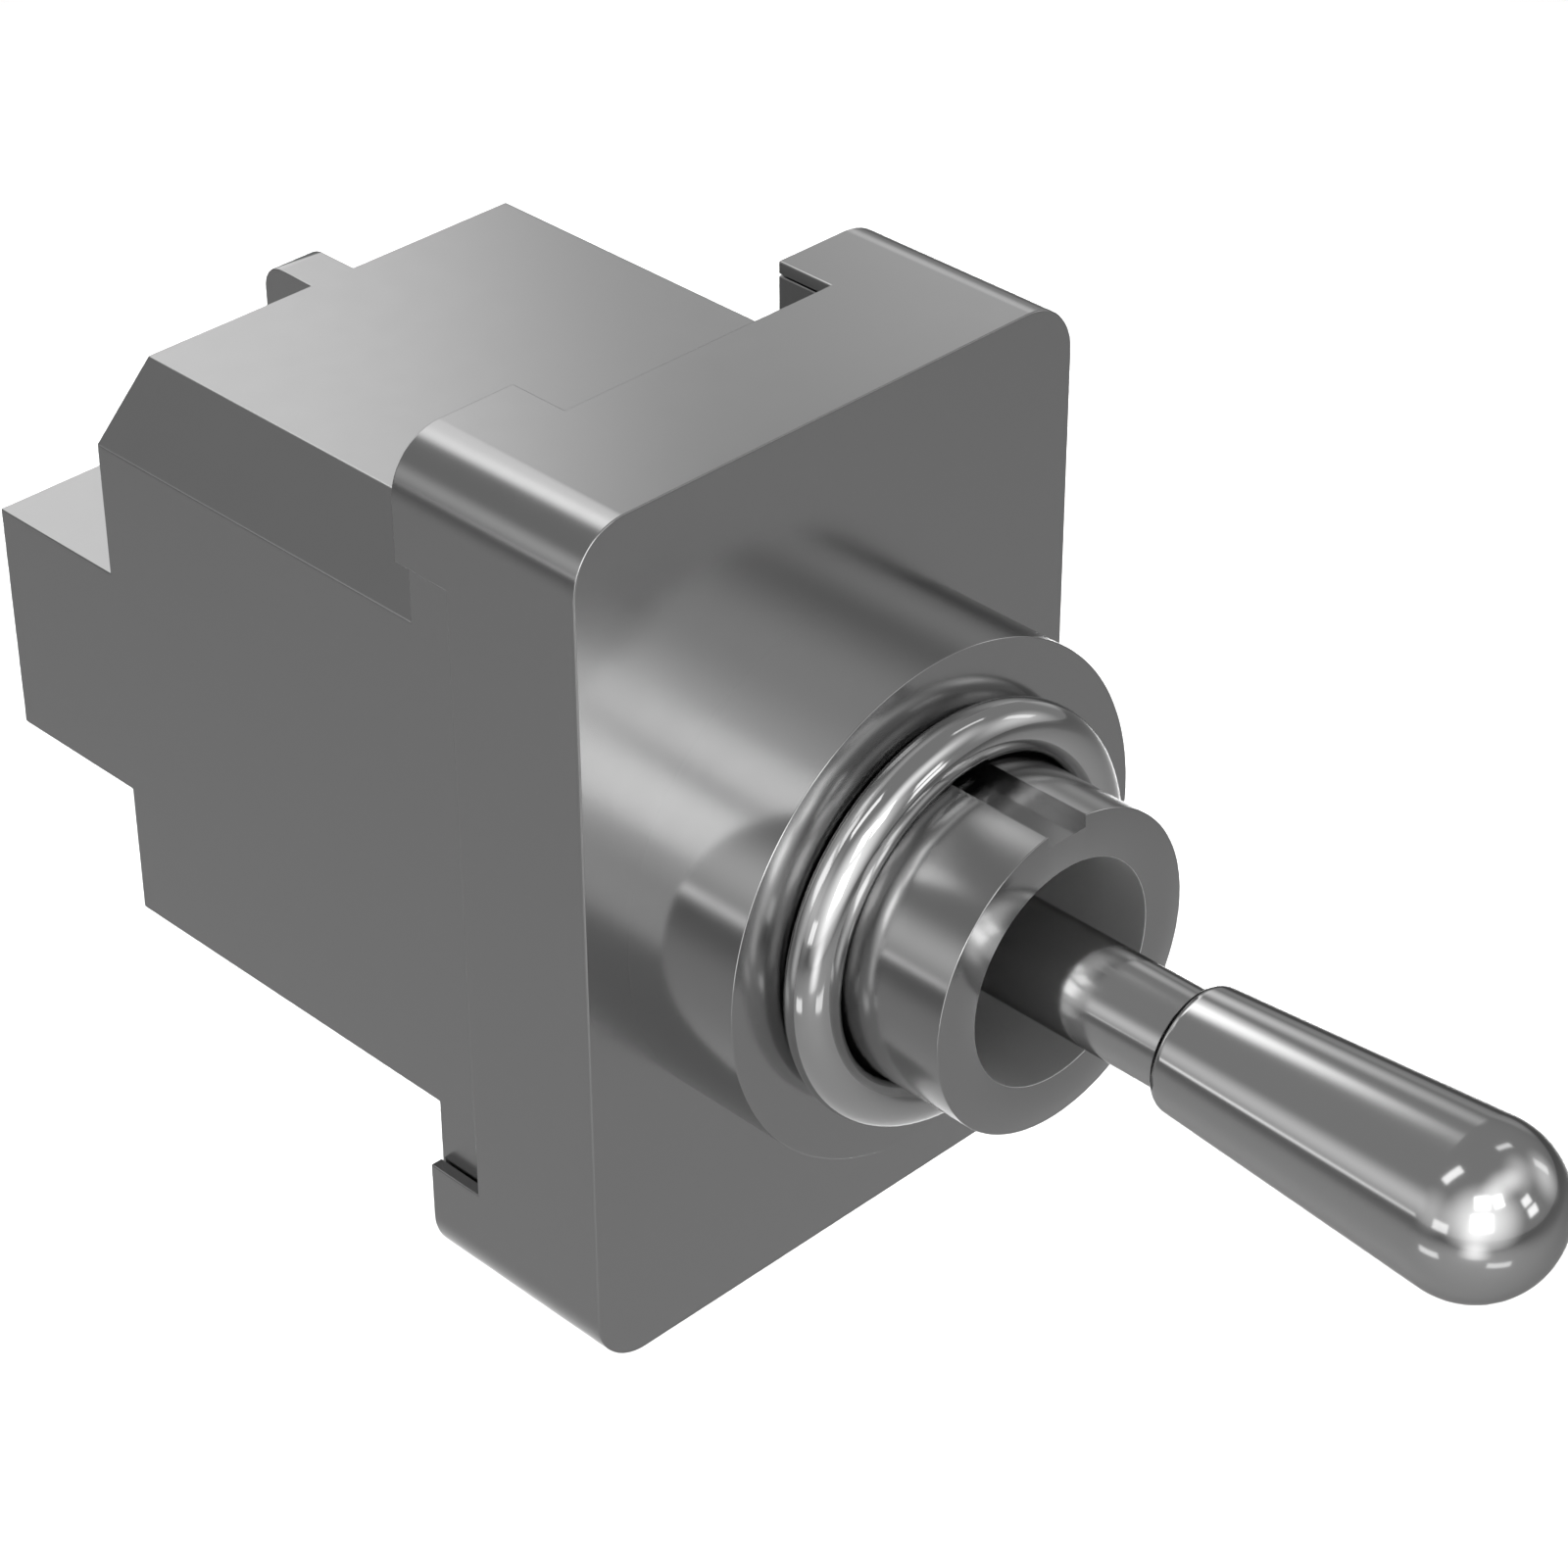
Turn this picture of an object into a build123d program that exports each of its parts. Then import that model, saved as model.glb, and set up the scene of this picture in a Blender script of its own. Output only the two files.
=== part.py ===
from build123d import *
import math
import os

# Two-pole panel toggle switch, in millimetres.
# +Z is up, towards the keyway. The lever points along -Y and the terminals along +Y.
# The origin is on the bushing's axis, in the plane of the collar's front face,
# where the panel rests.

# Bushing and collar, turned as one piece
bushing_r = 5.95
bushing_length = 5.7
relief_depth = 0.18
relief_length = 2.0
bore_r = 4.18
collar_r = 9.65
collar_length = 4.9
spigot_wall = 1.2
lip_width = 0.8
lip_thickness = 0.5
cavity_r = 5.0
cavity_start = 0.3
keyway_width = 1.8
keyway_depth = 0.55

# Panel seal ring, round in section, around the bushing's relief
ring_wire_r = 0.95
ring_mean_r = bushing_r + ring_wire_r

# Stamped cover
sheet = 0.5
cover_half_w = 11.5
cover_half_h = 17.0
cover_corner_r = 2.2
cover_depth = 6.2
tab_depth = 8.7
tab_width = 5.4
gasket_thickness = 0.5
gasket_width = 1.4
gasket_clearance = 0.1

# Moulded case
cover_gap = 0.05
body_half_h = 12.5
body_length = 16.8
edge_bevel = 2.55
block_half_h = 4.65
block_length = 6.5
barrier_thickness = 2.0
barrier_length = 2.7
barrier_round = 1.0
case_wall = 1.9
rear_wall = 2.0
rim_wall = 1.9
front_pocket_depth = 5.0
inner_bevel = 1.2
pole_wall = 1.2
pole_wall_gap = 2.1

# Lever
pivot_y = 3.4
stem_r = 1.82
ball_r = 3.3
stem_reach = 11.8
bat_start_r = 2.31
bat_round = 0.5
bat_end_r = 3.05
lever_reach = 25.8
tail_r = 2.0
tail_length = 7.2
pin_r = 0.8
pin_seat = 1.3
running_gap = 0.05
seal_gap = 0.12
seal_length = 1.9
seal_lip_r = 2.75
retainer_rim = 0.7
retainer_hole_r = 4.1
retainer_thickness = 0.8
tongue_gap = 0.08

# Actuator yoke, plungers and springs
leg_half_w = 2.2
yoke_half_h = 2.4
yoke_offset = 4.2
yoke_bridge = 4.2
yoke_round = 0.8
plunger_r = 1.5
nose_reach = 1.7
plunger_length = 5.4
socket_gap = 0.05
socket_depth = 7.0
spring_r = 1.15
spring_wire_r = 0.16
spring_turns = 5

# Rockers and contacts
trunnion_drop = 0.9
trunnion_r = 0.8
valley_angle = 10.0
valley_gap = 0.18
valley_half_h = 4.6
arm_start_z = 6.0
arm_drop = 0.6
bend_r = 0.5
rocker_sheet = 0.8
rocker_width = 4.0
contact_z = 8.0
button_r = 1.0
button_height = 0.7
contact_gap = 1.1
ear_thickness = 0.8
ear_gap = 0.15
ear_half_h = 2.2
ear_above = 0.4

# Terminals
post_r = 1.2
post_height = 1.5
insert_r = 2.3
insert_boss = 1.2
plate_w = 6.4
plate_h = 5.8
plate_thickness = 0.8
plate_round = 0.6
hole_depth = 3.8
screw_head_r = 2.7
screw_head_height = 1.1
screw_head_round = 0.4
screw_shank_r = 1.5
screw_length = 4.0
screw_slot_w = 0.7
screw_slot_depth = 0.6
washer_r = 2.6
washer_thickness = 0.4
washer_split = 0.4
washer_gap = 0.1
fit_gap = 0.02

# Planes along Y that follow from the sizes above
cover_front = collar_length
plate_back = cover_front + sheet
rim_y = plate_back + gasket_thickness
cover_back = cover_front + cover_depth
tab_back = cover_front + tab_depth
body_back = tab_back + body_length
block_back = body_back + block_length
cavity_back = body_back - rear_wall
case_half_w = cover_half_w - sheet - cover_gap
shoulder_half_h = cover_half_h - sheet - cover_gap
case_corner_r = cover_corner_r - sheet
tab_edge_x = cover_half_w - tab_width
pin_half_length = cavity_r + pin_seat
retainer_r = pin_half_length + retainer_rim
spigot_r = retainer_r + spigot_wall
lip_r = spigot_r + lip_width
lip_back = plate_back + lip_thickness
retainer_front = lip_back - retainer_thickness
seal_end = cavity_start + seal_length
pole_x = (pole_wall / 2 + case_half_w - case_wall) / 2

# The mechanism is set out from the case's back wall towards the lever
boss_front = cavity_back - insert_boss
fixed_back = boss_front - post_height
fixed_face = fixed_back - button_height
button_face = fixed_face - contact_gap
arm_face = button_face - button_height
arm_y = arm_face - rocker_sheet / 2
arm_end_z = contact_z + button_r
trunnion_y = arm_y - arm_drop
valley_y = trunnion_y - trunnion_drop
valley = math.radians(valley_angle)
nose_y = valley_y - (plunger_r + valley_gap + rocker_sheet / 2) / math.cos(valley)
yoke_front = pivot_y + yoke_offset
yoke_back = nose_y - nose_reach
yoke_half_w = pole_x + leg_half_w
saddle_half_w = rocker_width / 2 + ear_gap + ear_thickness


def block(x0, x1, y0, y1, z0, z1):
    """A box between two corners."""
    size = (x1 - x0, y1 - y0, z1 - z0)
    middle = ((x0 + x1) / 2, (y0 + y1) / 2, (z0 + z1) / 2)
    return Pos(*middle) * Box(*size)


def turned(*points):
    """A solid turned about the Y axis from (radius, y) points."""
    return revolve(make_face(Polyline(*points, close=True)), Axis.Y)


def disc(radius, y0, y1, x=0.0, z=0.0):
    """A round bar along Y."""
    bar = Cylinder(radius, y1 - y0, align=(Align.CENTER, Align.CENTER, Align.MIN))
    return Pos(x, y0, z) * Rot(-90, 0, 0) * bar


def cross_bar(radius, x0, x1, y, z=0.0):
    """A round bar along X."""
    bar = Cylinder(radius, x1 - x0, align=(Align.CENTER, Align.CENTER, Align.MIN))
    return Pos(x0, y, z) * Rot(0, 90, 0) * bar


def rounded_block(half_w, half_h, y0, y1, radius):
    """A box along Y with its four long edges rounded."""
    body = block(-half_w, half_w, y0, y1, -half_h, half_h)
    return fillet(body.edges().filter_by(Axis.Y), radius)


def bevelled_block(half_w, half_h, y0, y1, bevel):
    """A box along Y with its four long edges bevelled at 45 degrees."""
    body = block(-half_w, half_w, y0, y1, -half_h, half_h)
    return chamfer(body.edges().filter_by(Axis.Y), bevel)


def save(node, shape):
    """Write one node as its own STEP file."""
    export_step(shape, os.path.join("parts", node + ".step"))


def pole_centres():
    """The two poles, left and right of the middle."""
    return (("left", -pole_x), ("right", pole_x))


def end_rows():
    """The upper and lower rows of end terminals."""
    return (("upper", 1), ("lower", -1))


def make_bushing():
    """Collar and bushing in one turned piece, staked through the cover."""
    relief_r = bushing_r - relief_depth
    body = turned(
        (bore_r, -bushing_length),
        (bushing_r, -bushing_length),
        (bushing_r, -relief_length),
        (relief_r, -relief_length),
        (relief_r, 0),
        (collar_r, 0),
        (collar_r, collar_length),
        (spigot_r, collar_length),
        (spigot_r, plate_back),
        (lip_r, plate_back),
        (lip_r, lip_back),
        (retainer_r, lip_back),
        (retainer_r, retainer_front),
        (cavity_r, retainer_front),
        (cavity_r, cavity_start),
        (bore_r, cavity_start),
    )
    half_key = keyway_width / 2
    floor_z = bushing_r - keyway_depth
    body -= block(-half_key, half_key, -bushing_length - 1, 0, floor_z, bushing_r + 1)
    slot_x = pin_half_length + fit_gap
    slot_r = pin_r + fit_gap
    body -= cross_bar(slot_r, -slot_x, slot_x, pivot_y)
    body -= block(-slot_x, slot_x, pivot_y, rim_y, -slot_r, slot_r)
    return body


def make_panel_seal_ring():
    """Round-section ring that lies on the collar's face and hugs the bushing."""
    profile = Pos(ring_mean_r, -ring_wire_r) * Circle(ring_wire_r)
    return revolve(profile, Axis.Y)


def make_cover():
    """Stamped cap with a hole for the spigot and four corner tabs."""
    outer = rounded_block(cover_half_w, cover_half_h, cover_front, tab_back, cover_corner_r)
    inner_w = cover_half_w - sheet
    inner_h = cover_half_h - sheet
    inner = rounded_block(inner_w, inner_h, plate_back, tab_back + 1, cover_corner_r - sheet)
    cap = outer - inner
    past = tab_back + 1
    wide = cover_half_w + 1
    tall = cover_half_h + 1
    cap -= block(-tab_edge_x, tab_edge_x, cover_back, past, -tall, tall)
    cap -= block(-wide, wide, cover_back, past, -body_half_h, body_half_h)
    cap -= disc(spigot_r + fit_gap, cover_front - 1, plate_back + 1)
    return cap


def make_cover_gasket():
    """Flat gasket between the cover's plate and the case's rim."""
    inner_w = case_half_w - gasket_width
    inner_h = shoulder_half_h - gasket_width
    radius = case_corner_r
    sheet_out = rounded_block(case_half_w, shoulder_half_h, plate_back, rim_y, radius)
    opening = block(-inner_w, inner_w, plate_back, rim_y, -inner_h, inner_h)
    return sheet_out - opening - disc(lip_r + gasket_clearance, plate_back, rim_y)


def make_case():
    """Moulded case: shoulder, bevelled body, middle block, barriers and cavity."""
    shell = rounded_block(case_half_w, shoulder_half_h, rim_y, tab_back, case_corner_r)
    for side in (1, -1):
        low, high = sorted((side * body_half_h, side * (shoulder_half_h + 1)))
        shell -= block(-tab_edge_x, tab_edge_x, cover_back, tab_back, low, high)
    shell += bevelled_block(case_half_w, body_half_h, tab_back - 1, body_back, edge_bevel)
    shell += block(-case_half_w, case_half_w, tab_back - 2, tab_back, -body_half_h, body_half_h)
    shell += block(-case_half_w, case_half_w, body_back - 1, block_back, -block_half_h, block_half_h)
    shell += make_barriers()
    shell -= make_cavity()
    for name, x in pole_centres():
        shell -= disc(insert_r + fit_gap, cavity_back - 1, block_back + 1, x)
        for row, side in end_rows():
            z = side * contact_z
            shell -= disc(insert_r + fit_gap, cavity_back - 1, body_back + 1, x, z)
    return shell


def make_barriers():
    """Wall on the middle line of each step, with a rounded back corner."""
    half = barrier_thickness / 2
    back = body_back + barrier_length
    walls = None
    for side in (1, -1):
        low, high = sorted((side * (block_half_h - 1), side * body_half_h))
        wall = block(-half, half, body_back - 1, back, low, high)
        edges = wall.edges().filter_by(Axis.X).group_by(Axis.Y)[-1]
        corner = edges.sort_by(Axis.Z)[-1 if side > 0 else 0]
        wall = fillet(corner, barrier_round)
        walls = wall if walls is None else walls + wall
    return walls


def make_cavity():
    """Space inside the case for the mechanism, split between the poles at the back."""
    front_w = case_half_w - rim_wall
    front_h = shoulder_half_h - rim_wall
    front_back = rim_y + front_pocket_depth
    hollow = block(-front_w, front_w, rim_y - 1, front_back, -front_h, front_h)
    inner_w = case_half_w - case_wall
    inner_h = body_half_h - case_wall
    hollow += bevelled_block(inner_w, inner_h, front_back - 1, cavity_back, inner_bevel)
    half = pole_wall / 2
    wall_front = yoke_back + pole_wall_gap
    return hollow - block(-half, half, wall_front, cavity_back, -inner_h - 1, inner_h + 1)


def make_lever():
    """Bat lever: round end, tapered bat, stem, ball and tail, turned as one piece."""
    bat_start_y = -stem_reach
    tip_y = -lever_reach
    end_y = tip_y + bat_end_r
    slope = math.atan2(bat_end_r - bat_start_r, bat_start_y - end_y)
    touch = (bat_end_r * math.cos(slope), end_y + bat_end_r * math.sin(slope))
    middle = (bat_end_r * math.sin(math.pi / 4), end_y - bat_end_r * math.cos(math.pi / 4))
    round_r = bat_start_r - bat_round
    turn = math.acos((stem_r - round_r) / bat_round)
    shoulder_y = bat_start_y + bat_round * math.sin(turn)
    bulge = (
        round_r + bat_round * math.cos(turn / 2),
        bat_start_y + bat_round * math.sin(turn / 2),
    )
    ball_front = pivot_y - math.sqrt(ball_r**2 - stem_r**2)
    ball_back = pivot_y + math.sqrt(ball_r**2 - tail_r**2)
    tail_end = pivot_y + tail_length
    outline = [
        ThreePointArc((0, tip_y), middle, touch),
        Line(touch, (bat_start_r, bat_start_y)),
        ThreePointArc((bat_start_r, bat_start_y), bulge, (stem_r, shoulder_y)),
        Line((stem_r, shoulder_y), (stem_r, ball_front)),
        ThreePointArc((stem_r, ball_front), (ball_r, pivot_y), (tail_r, ball_back)),
        Line((tail_r, ball_back), (tail_r, tail_end)),
        Line((tail_r, tail_end), (0, tail_end)),
        Line((0, tail_end), (0, tip_y)),
    ]
    body = revolve(make_face(Wire(outline)), Axis.Y)
    return body - cross_bar(pin_r + running_gap, -ball_r - 1, ball_r + 1, pivot_y)


def make_lever_seal():
    """Rubber ring in the bushing, hollowed to the lever's ball."""
    ring = disc(cavity_r - fit_gap, cavity_start, seal_end)
    ring -= disc(seal_lip_r, cavity_start - 1, seal_end + 1)
    return ring - Pos(0, pivot_y, 0) * Sphere(ball_r + seal_gap)


def make_pivot_pin():
    """Cross pin that carries the lever's ball."""
    return cross_bar(pin_r, -pin_half_length, pin_half_length, pivot_y)


def make_pin_retainer():
    """Plate pressed into the bushing's back, with two tongues behind the pin."""
    plate = disc(retainer_r - fit_gap, retainer_front, lip_back)
    tongue_front = pivot_y + pin_r + fit_gap
    inner_x = cavity_r + tongue_gap
    outer_x = pin_half_length - tongue_gap
    half = pin_r - tongue_gap
    for side in (1, -1):
        low, high = sorted((side * inner_x, side * outer_x))
        plate += block(low, high, tongue_front, retainer_front, -half, half)
    return plate - disc(retainer_hole_r, retainer_front - 1, lip_back + 1)


def make_actuator():
    """Moulded yoke on the lever's tail, with a socket for each plunger."""
    body = block(-yoke_half_w, yoke_half_w, yoke_front, yoke_back, -yoke_half_h, yoke_half_h)
    body = fillet(body.edges().filter_by(Axis.Y), yoke_round)
    body -= disc(tail_r, yoke_front - 1, pivot_y + tail_length)
    for name, x in pole_centres():
        body -= disc(plunger_r + socket_gap, yoke_back - socket_depth, yoke_back + 1, x)
    gap = pole_x - leg_half_w
    start = yoke_front + yoke_bridge
    return body - block(-gap, gap, start, yoke_back + 1, -yoke_half_h, yoke_half_h)


def make_plunger(x):
    """Plunger with a round nose."""
    return disc(plunger_r, nose_y - plunger_length, nose_y, x) + Pos(x, nose_y, 0) * Sphere(plunger_r)


def make_spring(x):
    """Coil spring between the socket's end and the plunger."""
    start = yoke_back - socket_depth + spring_wire_r
    end = nose_y - plunger_length - spring_wire_r
    pitch = (end - start) / spring_turns
    path = Helix(pitch, end - start, spring_r)
    wire = Circle(spring_wire_r)
    coil = sweep(path.location_at(0) * wire, path)
    return Pos(x, start, 0) * Rot(-90, 0, 0) * coil


def rocker_line():
    """Half of the rocker's middle line, as (y, z) points from the valley outwards."""
    crest = valley_y - valley_half_h * math.tan(valley)
    return [(valley_y, 0), (crest, valley_half_h), (arm_y, arm_start_z), (arm_y, arm_end_z)]


def make_rocker(x):
    """Bent rocker with a valley for the plunger and trunnions for the saddle."""
    half = rocker_line()
    points = [(y, -z) for y, z in reversed(half[1:])] + half
    bent = trace(FilletPolyline(*points, radius=bend_r), line_width=rocker_sheet)
    half_w = rocker_width / 2
    plate = extrude(Plane.YZ * bent, half_w, both=True)
    rib = block(-half_w, half_w, valley_y, trunnion_y, -trunnion_r, trunnion_r)
    trunnion = cross_bar(trunnion_r, -saddle_half_w, saddle_half_w, trunnion_y)
    return Pos(x, 0, 0) * (plate + rib + trunnion)


def make_rocker_contacts(x):
    """The two buttons on a rocker's arms."""
    return Compound([disc(button_r, arm_face, button_face, x, s * contact_z) for s in (1, -1)])


def make_common_terminal(x):
    """Saddle with two notched ears, an insert through the block and a plate at the back."""
    base_front = cavity_back - ear_thickness
    outer = saddle_half_w
    body = block(-outer, outer, base_front, cavity_back, -ear_half_h, ear_half_h)
    notch_r = trunnion_r + running_gap
    top = trunnion_y - ear_above
    for side in (1, -1):
        low, high = sorted((side * outer, side * (outer - ear_thickness)))
        body += block(low, high, top, base_front, -ear_half_h, ear_half_h)
    body -= cross_bar(notch_r, -outer - 1, outer + 1, trunnion_y)
    body -= block(-outer - 1, outer + 1, top - 1, trunnion_y, -notch_r, notch_r)
    body += disc(insert_r, cavity_back, block_back)
    return Pos(x, 0, 0) * (body + make_plate(block_back, 0.0))


def make_plate(y, z):
    """Terminal plate that lies on the case."""
    half_w = plate_w / 2
    half_h = plate_h / 2
    plate = block(-half_w, half_w, y, y + plate_thickness, z - half_h, z + half_h)
    return fillet(plate.edges().filter_by(Axis.Y), plate_round)


def drill(terminal, x, y, z):
    """Cut the screw's hole into a terminal from its plate's face."""
    face = y + plate_thickness
    return terminal - disc(screw_shank_r + fit_gap, face - hole_depth, face + 1, x, z)


def make_end_terminal(x, side):
    """Contact post, insert through the case's back wall and plate on the step."""
    z = side * contact_z
    body = disc(post_r, fixed_back, boss_front, 0.0, z)
    body += disc(insert_r, boss_front, body_back, 0.0, z)
    return Pos(x, 0, 0) * (body + make_plate(body_back, z))


def make_fixed_contacts():
    """The four buttons on the end terminals' posts."""
    places = [(x, s * contact_z) for name, x in pole_centres() for row, s in end_rows()]
    return Compound([disc(button_r, fixed_face, fixed_back, x, z) for x, z in places])


def terminal_places():
    """Face of each terminal plate: x, y and z of its screw."""
    end_face = body_back + plate_thickness
    places = [(x, end_face, s * contact_z) for name, x in pole_centres() for row, s in end_rows()]
    return places + [(x, block_back + plate_thickness, 0.0) for name, x in pole_centres()]


def make_washers():
    """Split lock washers under the screws' heads."""
    rings = []
    for x, y, z in terminal_places():
        ring = disc(washer_r, y, y + washer_thickness, x, z)
        ring -= disc(screw_shank_r + washer_gap, y - 1, y + 1, x, z)
        half = washer_split / 2
        ring -= block(x - half, x + half, y - 1, y + 1, z, z + washer_r + 1)
        rings.append(ring)
    return Compound(rings)


def make_screws():
    """Slotted binder-head terminal screws."""
    screws = []
    for x, y, z in terminal_places():
        under = y + washer_thickness
        top = under + screw_head_height
        head = disc(screw_head_r, under, top, x, z)
        rim = head.edges().filter_by(GeomType.CIRCLE).sort_by(Axis.Y)[-1]
        head = fillet(rim, screw_head_round)
        half = screw_slot_w / 2
        wide = screw_head_r + 1
        head -= block(x - wide, x + wide, top - screw_slot_depth, top + 1, z - half, z + half)
        screws.append(head + disc(screw_shank_r, under - screw_length, under, x, z))
    return Compound(screws)


os.makedirs("parts", exist_ok=True)
save("case", make_case())
save("cover", make_cover())
save("cover_gasket", make_cover_gasket())
save("bushing", make_bushing())
save("panel_seal_ring", make_panel_seal_ring())
save("lever", make_lever())
save("lever_seal", make_lever_seal())
save("pivot_pin", make_pivot_pin())
save("pin_retainer", make_pin_retainer())
save("actuator", make_actuator())
for name, x in pole_centres():
    save("plunger_" + name, make_plunger(x))
    save("plunger_spring_" + name, make_spring(x))
    save("contact_rocker_" + name, make_rocker(x))
    save("rocker_contacts_" + name, make_rocker_contacts(x))
    common = drill(make_common_terminal(x), x, block_back, 0.0)
    save("common_terminal_" + name, common)
    for row, side in end_rows():
        terminal = drill(make_end_terminal(x, side), x, body_back, side * contact_z)
        save("end_terminal_" + row + "_" + name, terminal)
save("fixed_contacts", make_fixed_contacts())
save("terminal_screws", make_screws())
save("terminal_lock_washers", make_washers())
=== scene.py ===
# %% [markdown]
# # A panel toggle switch, dressed for its portrait
# The switch was drawn in CAD and packed as a rigid model. This script loads that model, gives each visible
# part a surface worth looking at, and lights it as a product photographer would. Lengths are in metres and
# the axes are the CAD's: +Z up towards the keyway, the lever along -Y, the terminals along +Y, and the
# origin on the bushing's axis in the plane where the panel rests.

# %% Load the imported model
import math

import bmesh
import bpy
from mathutils import Matrix, Vector


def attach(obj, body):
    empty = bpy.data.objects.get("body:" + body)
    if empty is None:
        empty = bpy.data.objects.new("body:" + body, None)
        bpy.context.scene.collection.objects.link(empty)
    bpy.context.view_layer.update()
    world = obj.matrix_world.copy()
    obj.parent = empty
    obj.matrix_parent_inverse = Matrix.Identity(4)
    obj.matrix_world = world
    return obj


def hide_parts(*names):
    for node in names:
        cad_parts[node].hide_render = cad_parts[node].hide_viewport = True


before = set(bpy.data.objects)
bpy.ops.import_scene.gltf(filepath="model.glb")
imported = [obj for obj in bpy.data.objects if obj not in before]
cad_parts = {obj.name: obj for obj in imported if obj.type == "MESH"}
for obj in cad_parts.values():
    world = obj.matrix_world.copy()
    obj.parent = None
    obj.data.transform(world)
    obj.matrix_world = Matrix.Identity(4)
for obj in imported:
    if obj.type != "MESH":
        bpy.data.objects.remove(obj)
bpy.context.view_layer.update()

# %% [markdown]
# The camera stands in front of the lever, 45 degrees to the left and 34 degrees up, with a lens of about
# 100 mm. That is the angle of the photograph. A camera was fitted to the switch's own straight edges and
# circles, and its place and its two directions are what that fit gave. A long lens keeps the edges of a
# small part nearly parallel, which is why catalogues use one.

# %% Camera
MM = 0.001
camera_place = Vector((-89.378, -82.853, 86.979)) * MM
camera_right = Vector((0.70853, -0.70568, -0.00317))
camera_up = Vector((0.39654, 0.39443, 0.82896))
sensor_width = 36.0
lens_length = 101.797
nearest_seen = 0.01
furthest_seen = 50.0


def make_camera():
    """Place the camera from its position and the two directions that fix how it is turned."""
    data = bpy.data.cameras.new("camera")
    data.sensor_fit = "HORIZONTAL"
    data.sensor_width = sensor_width
    data.lens = lens_length
    data.clip_start = nearest_seen
    data.clip_end = furthest_seen
    camera = bpy.data.objects.new("camera", data)
    bpy.context.scene.collection.objects.link(camera)
    back = camera_right.cross(camera_up).normalized()
    turn = Matrix((camera_right, camera_up, back)).transposed()
    camera.matrix_world = Matrix.Translation(camera_place) @ turn.to_4x4()
    bpy.context.scene.camera = camera
    return camera


camera = make_camera()
print("camera at", [round(c, 4) for c in camera.location])

# %% [markdown]
# Two small helpers finish every new part. The first turns a bmesh into an object, ties it to the CAD body
# that carries it, and hides the CAD nodes that it stands for. The second shades it: a smooth surface needs
# smooth normals, but a flat face beside a rounded edge would look puffed up with them, so large faces keep
# their own.

# %% Helpers for finished parts
def keep(bm, name, body, nodes):
    """Write a bmesh as a part that rides on a body and stands for some CAD nodes."""
    mesh = bpy.data.meshes.new(name)
    bmesh.ops.recalc_face_normals(bm, faces=bm.faces)
    bm.to_mesh(mesh)
    bm.free()
    part = bpy.data.objects.new(name, mesh)
    bpy.context.scene.collection.objects.link(part)
    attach(part, body)
    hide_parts(*nodes)
    return part


def shade(part, angle):
    """Shade smooth, except across sharp edges, and keep each large face flat up to its rounded edge."""
    part.data.shade_smooth()
    part.data.set_sharp_from_angle(angle=math.radians(angle))
    flat = part.modifiers.new("flat_faces", "WEIGHTED_NORMAL")
    flat.keep_sharp = True
    print(part.name, len(part.data.polygons), "faces")


print("CAD nodes to dress:", len(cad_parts))

# %% [markdown]
# The lever, the bushing and the ring are turned parts: a lathe makes them by holding an outline still while
# the bar spins. Blender's spin does the same. An outline is drawn in the plane x = 0, its arcs made by
# spinning the last point, and the whole outline is then spun about the Y axis. The lathe leaves no facets,
# so the spin takes many steps.

# %% Outline tools for turned parts
spin_steps = 192


def start_outline(radius, y):
    """A bmesh with one vertex, given as a radius and a place along the axis."""
    bm = bmesh.new()
    first = bm.verts.new((0.0, y * MM, radius * MM))
    return bm, first


def line_to(bm, last, radius, y):
    """Draw a straight line on from the outline's last vertex."""
    new = bmesh.ops.extrude_vert_indiv(bm, verts=[last])["verts"][0]
    new.co = (0.0, y * MM, radius * MM)
    return new


def arc_round(bm, last, centre, angle, steps):
    """Carry the outline round an arc about a centre, given as a radius and a place along the axis."""
    middle = (0.0, centre[1] * MM, centre[0] * MM)
    spun = bmesh.ops.spin(bm, geom=[last], cent=middle, axis=(1, 0, 0), angle=angle, steps=steps)
    return [g for g in spun["geom_last"] if isinstance(g, bmesh.types.BMVert)][0]


def spin_outline(bm):
    """Turn the outline about the Y axis into a closed skin."""
    outline = bm.verts[:] + bm.edges[:]
    bmesh.ops.spin(bm, geom=outline, cent=(0, 0, 0), axis=(0, 1, 0), angle=math.tau, steps=spin_steps,
                   use_merge=True)
    bmesh.ops.remove_doubles(bm, verts=bm.verts, dist=1e-7)


print("a full spin takes", spin_steps, "steps")

# %% [markdown]
# The bat lever has a ball tip, a long taper, a small step down to the stem, and inside the bushing a ball
# and a tail. The tip is an arc that ends where the taper touches it, so light runs over the join without a
# break.

# %% Lever
tip_radius = 3.05
tip_y = -25.8
bat_front_y = tip_y + tip_radius
bat_back_y = -11.8
bat_back_radius = 2.31
shoulder_radius = 0.5
stem_radius = 1.82
ball_radius = 3.3
pivot_y = 3.4
tail_radius = 2.0
tail_end_y = 10.6


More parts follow.
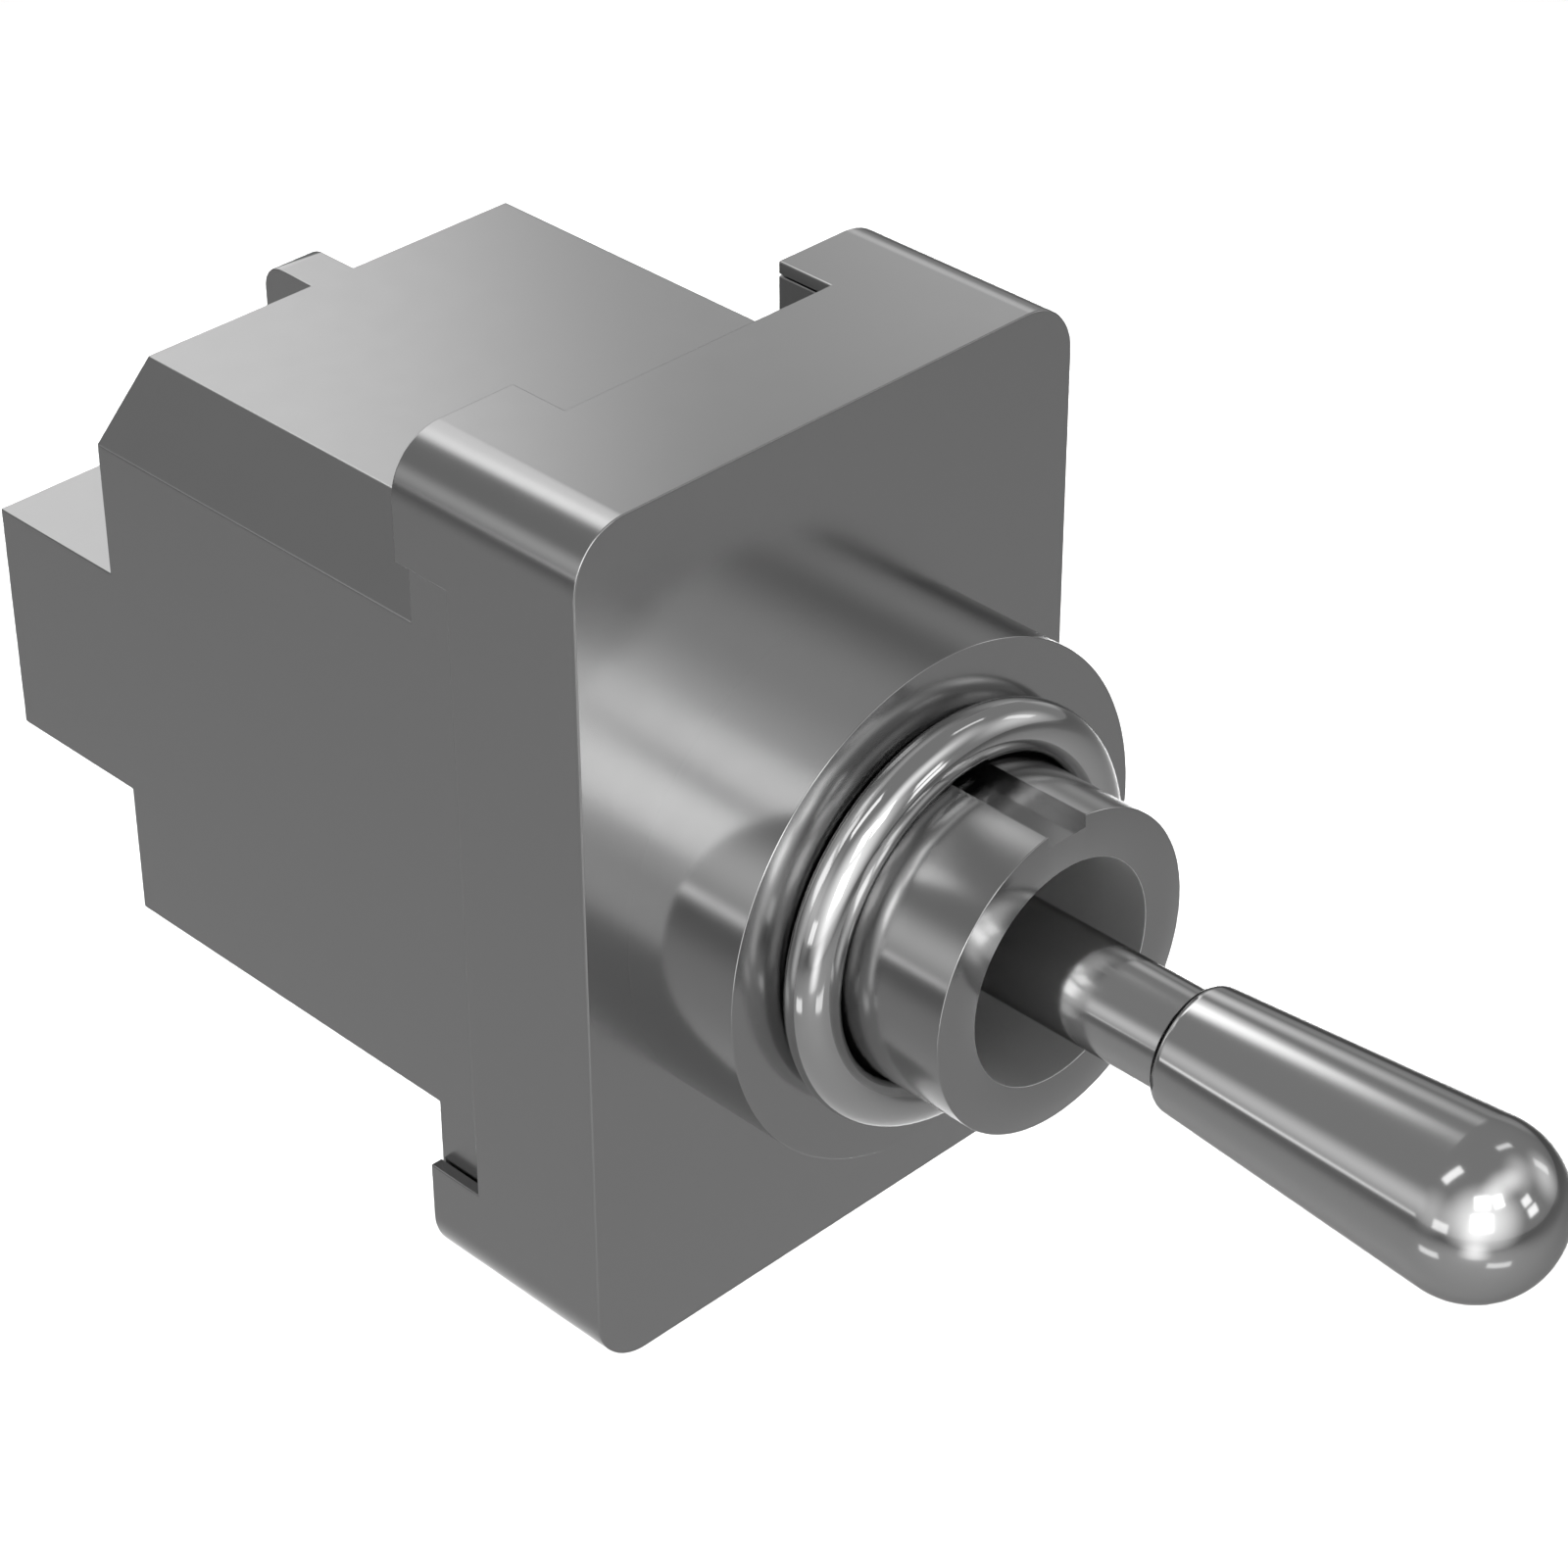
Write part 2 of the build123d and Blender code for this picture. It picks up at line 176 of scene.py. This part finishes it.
def make_lever():
    """Spin the lever's outline from the tip's pole to the end of its tail."""
    slope = math.atan2(tip_radius - bat_back_radius, bat_back_y - bat_front_y)
    bm, last = start_outline(0.0, tip_y)
    last = arc_round(bm, last, (0.0, bat_front_y), -(math.pi / 2 + slope), 28)
    last = line_to(bm, last, bat_back_radius, bat_back_y)
    round_centre = bat_back_radius - shoulder_radius
    turn = math.acos((stem_radius - round_centre) / shoulder_radius)
    last = arc_round(bm, last, (round_centre, bat_back_y), -turn, 8)
    ball_front = pivot_y - math.sqrt(ball_radius**2 - stem_radius**2)
    last = line_to(bm, last, stem_radius, ball_front)
    front_angle = math.asin(stem_radius / ball_radius)
    back_angle = math.asin(tail_radius / ball_radius)
    last = arc_round(bm, last, (0.0, pivot_y), -(math.pi - front_angle - back_angle), 24)
    last = line_to(bm, last, tail_radius, tail_end_y)
    last = line_to(bm, last, 0.0, tail_end_y)
    spin_outline(bm)
    lever = keep(bm, "turned_lever", "lever", ["lever"])
    shade(lever, 30)
    return lever


lever = make_lever()

# %% [markdown]
# The sealing ring is round in section. It sits around the bushing and lies on the collar's face, where the
# panel presses on it. A circle is spun about the bushing's axis.

# %% Panel seal ring
bushing_radius = 5.95
ring_wire_radius = 0.95
ring_middle_radius = bushing_radius + ring_wire_radius


def make_ring():
    """Spin a circle that touches the collar's face."""
    bm = bmesh.new()
    bmesh.ops.create_circle(bm, segments=48, radius=ring_wire_radius * MM)
    bmesh.ops.rotate(bm, verts=bm.verts, matrix=Matrix.Rotation(math.pi / 2, 3, "Y"))
    place = (0.0, -ring_wire_radius * MM, ring_middle_radius * MM)
    bmesh.ops.translate(bm, verts=bm.verts, vec=place)
    spin_outline(bm)
    ring = keep(bm, "round_seal_ring", "housing", ["panel_seal_ring"])
    shade(ring, 60)
    return ring


ring = make_ring()

# %% [markdown]
# After the lathe comes the bench. A sharp edge is broken with a file, and a slot is milled. The bevel
# operator breaks an edge. A slot could be modelled into the faces by hand, but a boolean with a block or a
# rod leaves exact walls with less work. The block is thrown away afterwards.

# %% Tools for edges and slots
broken_edge = 0.04
rod_sides = 48


def sharp_edges(bm, angle):
    """The edges between two faces that meet at more than an angle in degrees."""
    limit = math.radians(angle)
    return [e for e in bm.edges if e.is_manifold and e.calc_face_angle(0.0) > limit]


def break_edges(bm, edges, width, segments):
    """Bevel some edges, as a tool or a mould leaves them."""
    bmesh.ops.bevel(bm, geom=edges, offset=width * MM, offset_type="OFFSET", affect="EDGES",
                    segments=segments, profile=0.5, material=-1, clamp_overlap=True)


def cutter(name, low, high):
    """A block between two corners, for cutting another part."""
    bm = bmesh.new()
    bmesh.ops.create_cube(bm, size=1.0)
    size = [(b - a) * MM for a, b in zip(low, high)]
    middle = [(a + b) / 2 * MM for a, b in zip(low, high)]
    bmesh.ops.scale(bm, vec=size, verts=bm.verts)
    bmesh.ops.translate(bm, vec=middle, verts=bm.verts)
    mesh = bpy.data.meshes.new(name)
    bm.to_mesh(mesh)
    bm.free()
    block = bpy.data.objects.new(name, mesh)
    bpy.context.scene.collection.objects.link(block)
    return block


def rod_cutter(name, radius, reach, y):
    """A round bar along X, for cutting a cross hole."""
    bm = bmesh.new()
    bmesh.ops.create_cone(bm, cap_ends=True, segments=rod_sides, radius1=radius * MM,
                          radius2=radius * MM, depth=2 * reach * MM)
    bmesh.ops.rotate(bm, verts=bm.verts, matrix=Matrix.Rotation(math.pi / 2, 3, "Y"))
    bmesh.ops.translate(bm, verts=bm.verts, vec=(0.0, y * MM, 0.0))
    mesh = bpy.data.meshes.new(name)
    bm.to_mesh(mesh)
    bm.free()
    rod = bpy.data.objects.new(name, mesh)
    bpy.context.scene.collection.objects.link(rod)
    return rod


def cut(part, *blocks):
    """Cut blocks out of a part, then throw the blocks away."""
    for block in blocks:
        modifier = part.modifiers.new("cut", "BOOLEAN")
        modifier.operation = "DIFFERENCE"
        modifier.solver = "EXACT"
        modifier.object = block
    graph = bpy.context.evaluated_depsgraph_get()
    mesh = bpy.data.meshes.new_from_object(part.evaluated_get(graph))
    part.modifiers.clear()
    part.data = mesh
    for block in blocks:
        bpy.data.objects.remove(block)


print("a broken edge is", broken_edge, "mm wide")

# %% [markdown]
# The bushing and its collar are one turned piece. After the spin, the edges that the lathe tool left are
# broken, all but the collar's back edge, which lies tight on the cover, and the corner where the bushing
# stands on the collar. Slot cutters then make the keyway along the top and, at the back, the two slots that
# take the lever's cross pin.

# %% Bushing and collar
bore_radius = 4.18
bushing_front_y = -5.7
collar_radius = 9.65
collar_back_y = 4.9
bushing_outline = [
    (bore_radius, bushing_front_y), (bushing_radius, bushing_front_y), (bushing_radius, 0.0),
    (collar_radius, 0.0), (collar_radius, collar_back_y), (8.2, collar_back_y), (8.2, 5.4), (9.0, 5.4),
    (9.0, 5.9), (7.0, 5.9), (7.0, 5.1), (5.0, 5.1), (5.0, 0.3), (bore_radius, 0.3),
]
keyway_width = 1.8
keyway_floor = 5.4
pin_slot_radius = 0.82
pin_slot_reach = 6.32


def at_plane(edge, y):
    """Whether an edge lies in a plane across the axis."""
    return all(abs(v.co.y - y * MM) < 0.01 * MM for v in edge.verts)


def make_bushing():
    """Spin the bushing, break its edges and cut the keyway and the pin's slots."""
    bm, last = start_outline(*bushing_outline[0])
    first = last
    for radius, y in bushing_outline[1:]:
        last = line_to(bm, last, radius, y)
    bm.edges.new((last, first))
    spin_outline(bm)
    bmesh.ops.recalc_face_normals(bm, faces=bm.faces)
    open_edges = [e for e in sharp_edges(bm, 40) if not at_plane(e, collar_back_y) and not at_plane(e, 0.0)]
    open_edges += [e for e in sharp_edges(bm, 40) if at_plane(e, 0.0) and e.verts[0].co.length > 9.0 * MM]
    break_edges(bm, open_edges, broken_edge, 3)
    bushing = keep(bm, "turned_bushing", "housing", ["bushing"])
    half = keyway_width / 2
    keyway = cutter("keyway", (-half, -7.0, keyway_floor), (half, -0.02, 7.0))
    pin_bed = rod_cutter("pin_bed", pin_slot_radius, pin_slot_reach, pivot_y)
    slot_corner = (pin_slot_reach, 6.0, pin_slot_radius)
    pin_way = cutter("pin_way", (-pin_slot_reach, pivot_y, -pin_slot_radius), slot_corner)
    cut(bushing, keyway, pin_bed, pin_way)
    shade(bushing, 25)
    return bushing


bushing = make_bushing()

# %% [markdown]
# The case, the cover and the terminal hardware keep their CAD shapes, which are flat faces and short
# curves. A CAD mesh is loose triangles, so a copy is merged, its flat triangles are joined into whole
# faces, and its sharp edges get the small radius that a mould or a press leaves. That radius is what
# catches the light.

# %% Softened copies of CAD parts
def softened(node, body, width, segments=2, angle=30):
    """A merged copy of a CAD node with its sharp edges broken."""
    bm = bmesh.new()
    bm.from_mesh(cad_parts[node].data)
    bmesh.ops.remove_doubles(bm, verts=bm.verts, dist=2e-6)
    bmesh.ops.dissolve_limit(bm, angle_limit=math.radians(0.5), verts=bm.verts, edges=bm.edges)
    break_edges(bm, sharp_edges(bm, angle), width, segments)
    part = keep(bm, "soft_" + node, body, [node])
    shade(part, 35)
    return part


mould_radius = 0.06
sheet_radius = 0.06
screw_radius = 0.05
washer_radius = 0.03
case = softened("case", "housing", mould_radius)
cover = softened("cover", "housing", sheet_radius)
screws = softened("terminal_screws", "housing", screw_radius)
washers = softened("terminal_lock_washers", "housing", washer_radius)
terminal_nodes = [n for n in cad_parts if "_terminal_" in n]
terminals = [softened(n, "housing", screw_radius) for n in terminal_nodes]

# %% [markdown]
# All the metal in the photograph is one neutral grey, smooth enough to mirror its neighbours. The surface
# is a metallic Principled shader, also on the case, which would be plastic on a real switch but is drawn as
# the same grey. Very faint noise in its roughness, and a bump far below the size of an edge, keep the
# reflections from being computer-perfect. The mouldings and the rubber inside are the same shader without
# the metal.

# %% Surface recipe
def surface(name, colour, metallic, roughness, spread, grain_scale, bump_height, stretch=(1, 1, 1)):
    """A plain colour with a little life in its gloss and a fine grain."""
    material = bpy.data.materials.new(name)
    material.use_nodes = True
    nodes = material.node_tree.nodes
    links = material.node_tree.links
    shader = nodes["Principled BSDF"]
    shader.inputs["Base Color"].default_value = (*colour, 1.0)
    shader.inputs["Metallic"].default_value = metallic
    shader.inputs["Roughness"].default_value = roughness
    place = nodes.new("ShaderNodeTexCoord")
    mapping = nodes.new("ShaderNodeMapping")
    mapping.inputs["Scale"].default_value = stretch
    links.new(place.outputs["Object"], mapping.inputs["Vector"])
    noise = nodes.new("ShaderNodeTexNoise")
    noise.inputs["Scale"].default_value = grain_scale
    noise.inputs["Detail"].default_value = 4.0
    links.new(mapping.outputs["Vector"], noise.inputs["Vector"])
    gloss = nodes.new("ShaderNodeMapRange")
    gloss.inputs["To Min"].default_value = roughness - spread
    gloss.inputs["To Max"].default_value = roughness + spread
    links.new(noise.outputs["Fac"], gloss.inputs["Value"])
    links.new(gloss.outputs["Result"], shader.inputs["Roughness"])
    bump = nodes.new("ShaderNodeBump")
    bump.inputs["Strength"].default_value = 1.0
    bump.inputs["Distance"].default_value = bump_height * MM
    links.new(noise.outputs["Fac"], bump.inputs["Height"])
    links.new(bump.outputs["Normal"], shader.inputs["Normal"])
    return material


print("materials before any finish:", len(bpy.data.materials))

# %% [markdown]
# Each slot of the CAD model gets one surface. The outside is grey, as in the photograph. The bore's wall
# mirrors the black seal behind it, and came out almost black in the grey of the outside, where the
# photograph shows mid grey. So it has a duller metal with a paler colour, and that paler colour is painted
# light, for that match alone: in brighter light it looks lighter than the bushing around it. The lever's
# metal gleams less at a grazing angle than a pure mirror does, which keeps its outline clear in front of a
# white floor. The mechanism isn't seen and takes the usual materials: brass for what carries the current,
# silvery contacts, steel for the springs and the pin, pale mouldings and black rubber.

# %% Surfaces
turning = (0.05, 1, 0.05)
body_colour = (0.40, 0.40, 0.40)
polish_colour = (0.55, 0.55, 0.55)
case_finish = surface("case_finish", body_colour, 1.0, 0.22, 0.02, 900.0, 0.0001)
cover_finish = surface("cover_finish", body_colour, 1.0, 0.20, 0.02, 900.0, 0.0001)
turned_finish = surface("turned_finish", body_colour, 1.0, 0.16, 0.02, 900.0, 0.0001, turning)
# A paler, duller copy of the turned metal for the bore: its roughness is a duller bore, its paler colour is
# painted light.
bore_dull_painted_light = surface("bore_dull_painted_light", (0.80, 0.80, 0.80), 1.0, 0.50, 0.03, 900.0, 0.0001, turning)
polished_finish = surface("polished_finish", polish_colour, 1.0, 0.09, 0.01, 500.0, 0.00005)
plated_finish = surface("plated_finish", (0.62, 0.62, 0.63), 1.0, 0.25, 0.03, 900.0, 0.0003)
brass_finish = surface("brass_finish", (0.72, 0.60, 0.36), 1.0, 0.28, 0.03, 900.0, 0.0003)
contact_finish = surface("contact_finish", (0.80, 0.80, 0.78), 1.0, 0.20, 0.02, 900.0, 0.0001)
steel_finish = surface("steel_finish", (0.55, 0.55, 0.56), 1.0, 0.25, 0.03, 900.0, 0.0001)
moulded_finish = surface("moulded_finish", (0.75, 0.74, 0.70), 0.0, 0.45, 0.04, 700.0, 0.0005)
rubber_finish = surface("rubber_finish", (0.05, 0.05, 0.05), 0.0, 0.70, 0.05, 700.0, 0.001)
bat_finish = surface("bat_finish", polish_colour, 1.0, 0.12, 0.01, 500.0, 0.00005)
bat_shader = bat_finish.node_tree.nodes["Principled BSDF"]
bat_shader.inputs["Specular Tint"].default_value = (0.4, 0.4, 0.4, 1)
slot_finishes = {
    "case_moulding": case_finish, "cover_metal": cover_finish, "bushing_metal": turned_finish,
    "ring_polished": polished_finish, "lever_metal": bat_finish, "seal_rubber": rubber_finish,
    "pin_steel": steel_finish, "actuator_moulding": moulded_finish, "spring_steel": steel_finish,
    "terminal_brass": brass_finish, "contact_metal": contact_finish, "screw_metal": plated_finish,
}
print(len(slot_finishes), "slots have a finish")

# %% [markdown]
# A finish is put on a whole part, apart from the bushing, whose bore has one of its own, with a colour
# that is painted light. A second material by face is simpler than a mask in the shader, and it stays sharp
# at the bore's mouth. The parts of the mechanism keep their CAD meshes and only take a material.

# %% Dressing the parts
bore_reach = 4.3
mouth_margin = 0.01
inner_slots = {
    "cover_gasket": "seal_rubber", "lever_seal": "seal_rubber", "pivot_pin": "pin_steel",
    "pin_retainer": "cover_metal", "actuator": "actuator_moulding", "plunger_left": "actuator_moulding",
    "plunger_right": "actuator_moulding", "plunger_spring_left": "spring_steel",
    "plunger_spring_right": "spring_steel", "contact_rocker_left": "terminal_brass",
    "contact_rocker_right": "terminal_brass", "rocker_contacts_left": "contact_metal",
    "rocker_contacts_right": "contact_metal", "fixed_contacts": "contact_metal",
}


def dress(part, material):
    """Give a part one material all over."""
    part.data.materials.clear()
    part.data.materials.append(material)
    for polygon in part.data.polygons:
        polygon.material_index = 0


def dress_bore(part, material, reach, front_y):
    """Give the inside of a turned part, up to a radius and behind its front face, a second material."""
    part.data.materials.append(material)
    for polygon in part.data.polygons:
        centre = polygon.center
        if math.hypot(centre.x, centre.z) < reach * MM and centre.y > front_y * MM:
            polygon.material_index = 1


dress(case, case_finish)
dress(cover, cover_finish)
dress(bushing, turned_finish)
# The bore gets the paler, duller metal: its paler colour is painted light in the bore.
dress_bore(bushing, bore_dull_painted_light, bore_reach, bushing_front_y + mouth_margin)
dress(ring, polished_finish)
dress(lever, bat_finish)
dress(screws, plated_finish)
dress(washers, plated_finish)
for terminal in terminals:
    dress(terminal, brass_finish)
for name, slot in inner_slots.items():
    dress(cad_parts[name], slot_finishes[slot])
print(len(inner_slots), "parts of the mechanism dressed")

# %% [markdown]
# The switch floats over a wide light grey floor, because a panel would hold it in the air. One lamp above
# the floor lights the part that the camera sees, so that it comes out white. The lamp points straight down
# and its beam is kept narrow, so next to none of it falls straight on the switch. A white floor would need
# less light, but the switch's undersides would mirror it and come out lighter. From other sides this floor
# looks mid grey.

# %% Floor
floor_height = -0.26
floor_half_width = 6.0
floor_grey = 0.5
floor_lamp_place = (0.32, 0.33, 0.35)
floor_lamp_size = 0.34
floor_lamp_spread = 75
floor_lamp_power = 2.25


def make_floor():
    """A very large light grey sheet under the switch."""
    bm = bmesh.new()
    bmesh.ops.create_grid(bm, x_segments=1, y_segments=1, size=floor_half_width)
    bmesh.ops.translate(bm, verts=bm.verts, vec=(0, 0, floor_height))
    mesh = bpy.data.meshes.new("floor")
    bm.to_mesh(mesh)
    bm.free()
    floor = bpy.data.objects.new("floor", mesh)
    bpy.context.scene.collection.objects.link(floor)
    material = bpy.data.materials.new("pale_floor")
    material.use_nodes = True
    shader = material.node_tree.nodes["Principled BSDF"]
    shader.inputs["Base Color"].default_value = (floor_grey, floor_grey, floor_grey, 1)
    shader.inputs["Roughness"].default_value = 1.0
    shader.inputs["Specular IOR Level"].default_value = 0.0
    mesh.materials.append(material)
    return floor


def floor_lamp(place, size, spread, power):
    """A lamp over the floor that points straight down and lights one round patch."""
    data = bpy.data.lights.new("floor_lamp", "AREA")
    data.shape = "DISK"
    data.size = size
    data.spread = math.radians(spread)
    data.energy = power
    lamp = bpy.data.objects.new("floor_lamp", data)
    lamp.location = place
    bpy.context.scene.collection.objects.link(lamp)
    return lamp


floor = make_floor()
print("floor at", floor_height)
floor_lamp(floor_lamp_place, floor_lamp_size, floor_lamp_spread, floor_lamp_power)

# %% [markdown]
# A mirror-like part is lit by what it reflects, so each lamp is a soft box placed where one surface looks
# for it: azimuth 0 is in front of the lever, 90 to its right, and elevation is above the horizon. Its width
# and height are the angles that it fills, seen from the switch. Most of the boxes fade towards their edge,
# as a cloth diffuser does, so that the metal shades smoothly. The panes of the key and most of the windows
# have a hard edge instead, as glass does.

# %% Soft boxes
def fade(data, edge):
    """Make a lamp's surface fade out towards its oval edge. The edge is the part that fades, from 0 to 1."""
    data.use_nodes = True
    nodes = data.node_tree.nodes
    links = data.node_tree.links
    geometry = nodes.new("ShaderNodeNewGeometry")
    centred = nodes.new("ShaderNodeVectorMath")
    centred.operation = "SUBTRACT"
    centred.inputs[1].default_value = (0.5, 0.5, 0.0)
    links.new(geometry.outputs["Parametric"], centred.inputs[0])
    flat = nodes.new("ShaderNodeVectorMath")
    flat.operation = "MULTIPLY"
    flat.inputs[1].default_value = (2.0, 2.0, 0.0)
    links.new(centred.outputs["Vector"], flat.inputs[0])
    reach = nodes.new("ShaderNodeVectorMath")
    reach.operation = "LENGTH"
    links.new(flat.outputs["Vector"], reach.inputs[0])
    glow = nodes.new("ShaderNodeMapRange")
    glow.interpolation_type = "SMOOTHSTEP"
    glow.inputs["From Min"].default_value = 1.0
    glow.inputs["From Max"].default_value = 1.0 - edge
    links.new(reach.outputs["Value"], glow.inputs["Value"])
    links.new(glow.outputs["Result"], nodes["Emission"].inputs["Strength"])


def soft_box(name, azimuth, elevation, distance, width, height, radiance, edge):
    """An area lamp that faces the switch, given by the light that its surface shows."""
    data = bpy.data.lights.new(name, "AREA")
    data.shape = "RECTANGLE"
    data.size = 2 * distance * math.tan(math.radians(width / 2))
    data.size_y = 2 * distance * math.tan(math.radians(height / 2))
    data.energy = radiance * math.pi * data.size * data.size_y
    if edge > 0:
        fade(data, edge)
    lamp = bpy.data.objects.new(name, data)
    a = math.radians(azimuth)
    e = math.radians(elevation)
    way = Vector((math.sin(a) * math.cos(e), -math.cos(a) * math.cos(e), math.sin(e)))
    lamp.location = way * distance
    lamp.rotation_mode = "QUATERNION"
    lamp.rotation_quaternion = way.to_track_quat("Z", "Y")
    bpy.context.scene.collection.objects.link(lamp)
    return lamp


print("lamps before the soft boxes:", len(bpy.data.lights))

# %% [markdown]
# The key stands in front on the left: three panes in a wide glow of their own, the strongest light here.
# Boxes above, to the right, behind and to the left shade the other faces, and the windows make the small
# bright streaks on the ring, the lever and the bushing. Directions were traced back from the highlights in
# the photograph. The brightness of key_glow, key_left, key_low, top_front, top_right, right_fill,
# right_window, back_box, back_right, left_line and left_fill, and of the room further down, began as
# another program's fit to the photograph. It was then rounded, and some of it changed. Fewer and plainer
# lamps would teach more.

# %% Lamps
# Name, azimuth, elevation, distance in metres, width, height, brightness, and how much of the edge fades
lamps = [
    ("key_pane_left", -42, 41.5, 0.8, 17, 15, 2.2, 0),
    ("key_pane_right", -18, 40, 0.8, 12, 14, 1.8, 0),
    ("key_pane_low", -43, 18.5, 0.8, 24, 20, 2.4, 0),
    ("key_glow", -42, 20, 0.9, 104, 96, 1.3, 1.0),
    ("key_left", -50, 0, 0.8, 40, 60, 0.4, 1.0),
    ("key_low", -48, -18, 0.6, 40, 34, 1.0, 1.0),
    ("top_front", -2, 54, 0.8, 66, 38, 1.0, 1.0),
    ("top_right", 38, 46, 0.8, 56, 44, 0.55, 1.0),
    ("right_fill", 60, 16, 0.9, 50, 50, 0.65, 1.0),
    ("right_window", 113, 3, 0.8, 36, 26, 0.2, 0.6),
    ("right_tall_window", 67, 19, 0.8, 7, 17, 0.6, 0),
    ("right_high_window", 86, 53, 0.8, 5, 18, 0.9, 0),
    ("front_window_top", 18, 25, 0.8, 12, 9, 1.5, 0),
    ("front_window", 20, 13, 0.8, 13, 9, 1.5, 0),
    ("back_box", 165, 29, 0.8, 50, 56, 1.1, 0.25),
    ("back_box_top", 166, 50, 0.8, 34, 10, 0.9, 0.7),
    ("back_right", 130, 22, 0.8, 22, 34, 0.85, 1.0),
    ("left_line", -126, -1, 0.8, 18, 6, 1.4, 1.0),
    ("left_glow", -128, 13, 0.8, 40, 34, 0.4, 1.0),
    ("left_window", -89, 4.5, 0.8, 18, 11, 1.0, 0),
    ("left_high_window", -115, 60, 0.8, 10, 24, 1.4, 0),
    ("left_low_window", -97, -31, 0.4, 20, 7, 0.9, 0),
    ("left_fill", -105, 15, 0.9, 60, 60, 0.45, 1.0),
    ("front_low_window", -20, -32, 0.4, 22, 6, 0.8, 0),
]
for lamp in lamps:
    soft_box(*lamp)
print(len(lamps), "lamps")

# %% [markdown]
# The rest of the room is an even mid grey. It keeps every face that no lamp reaches from going black.

# %% Room light
room_grey = 0.3
world = bpy.data.worlds.new("room")
world.use_nodes = True
world.node_tree.nodes["Background"].inputs["Color"].default_value = (room_grey, room_grey, room_grey, 1)
bpy.context.scene.world = world
print("room grey", room_grey)
bpy.context.scene.view_settings.view_transform = "Standard"
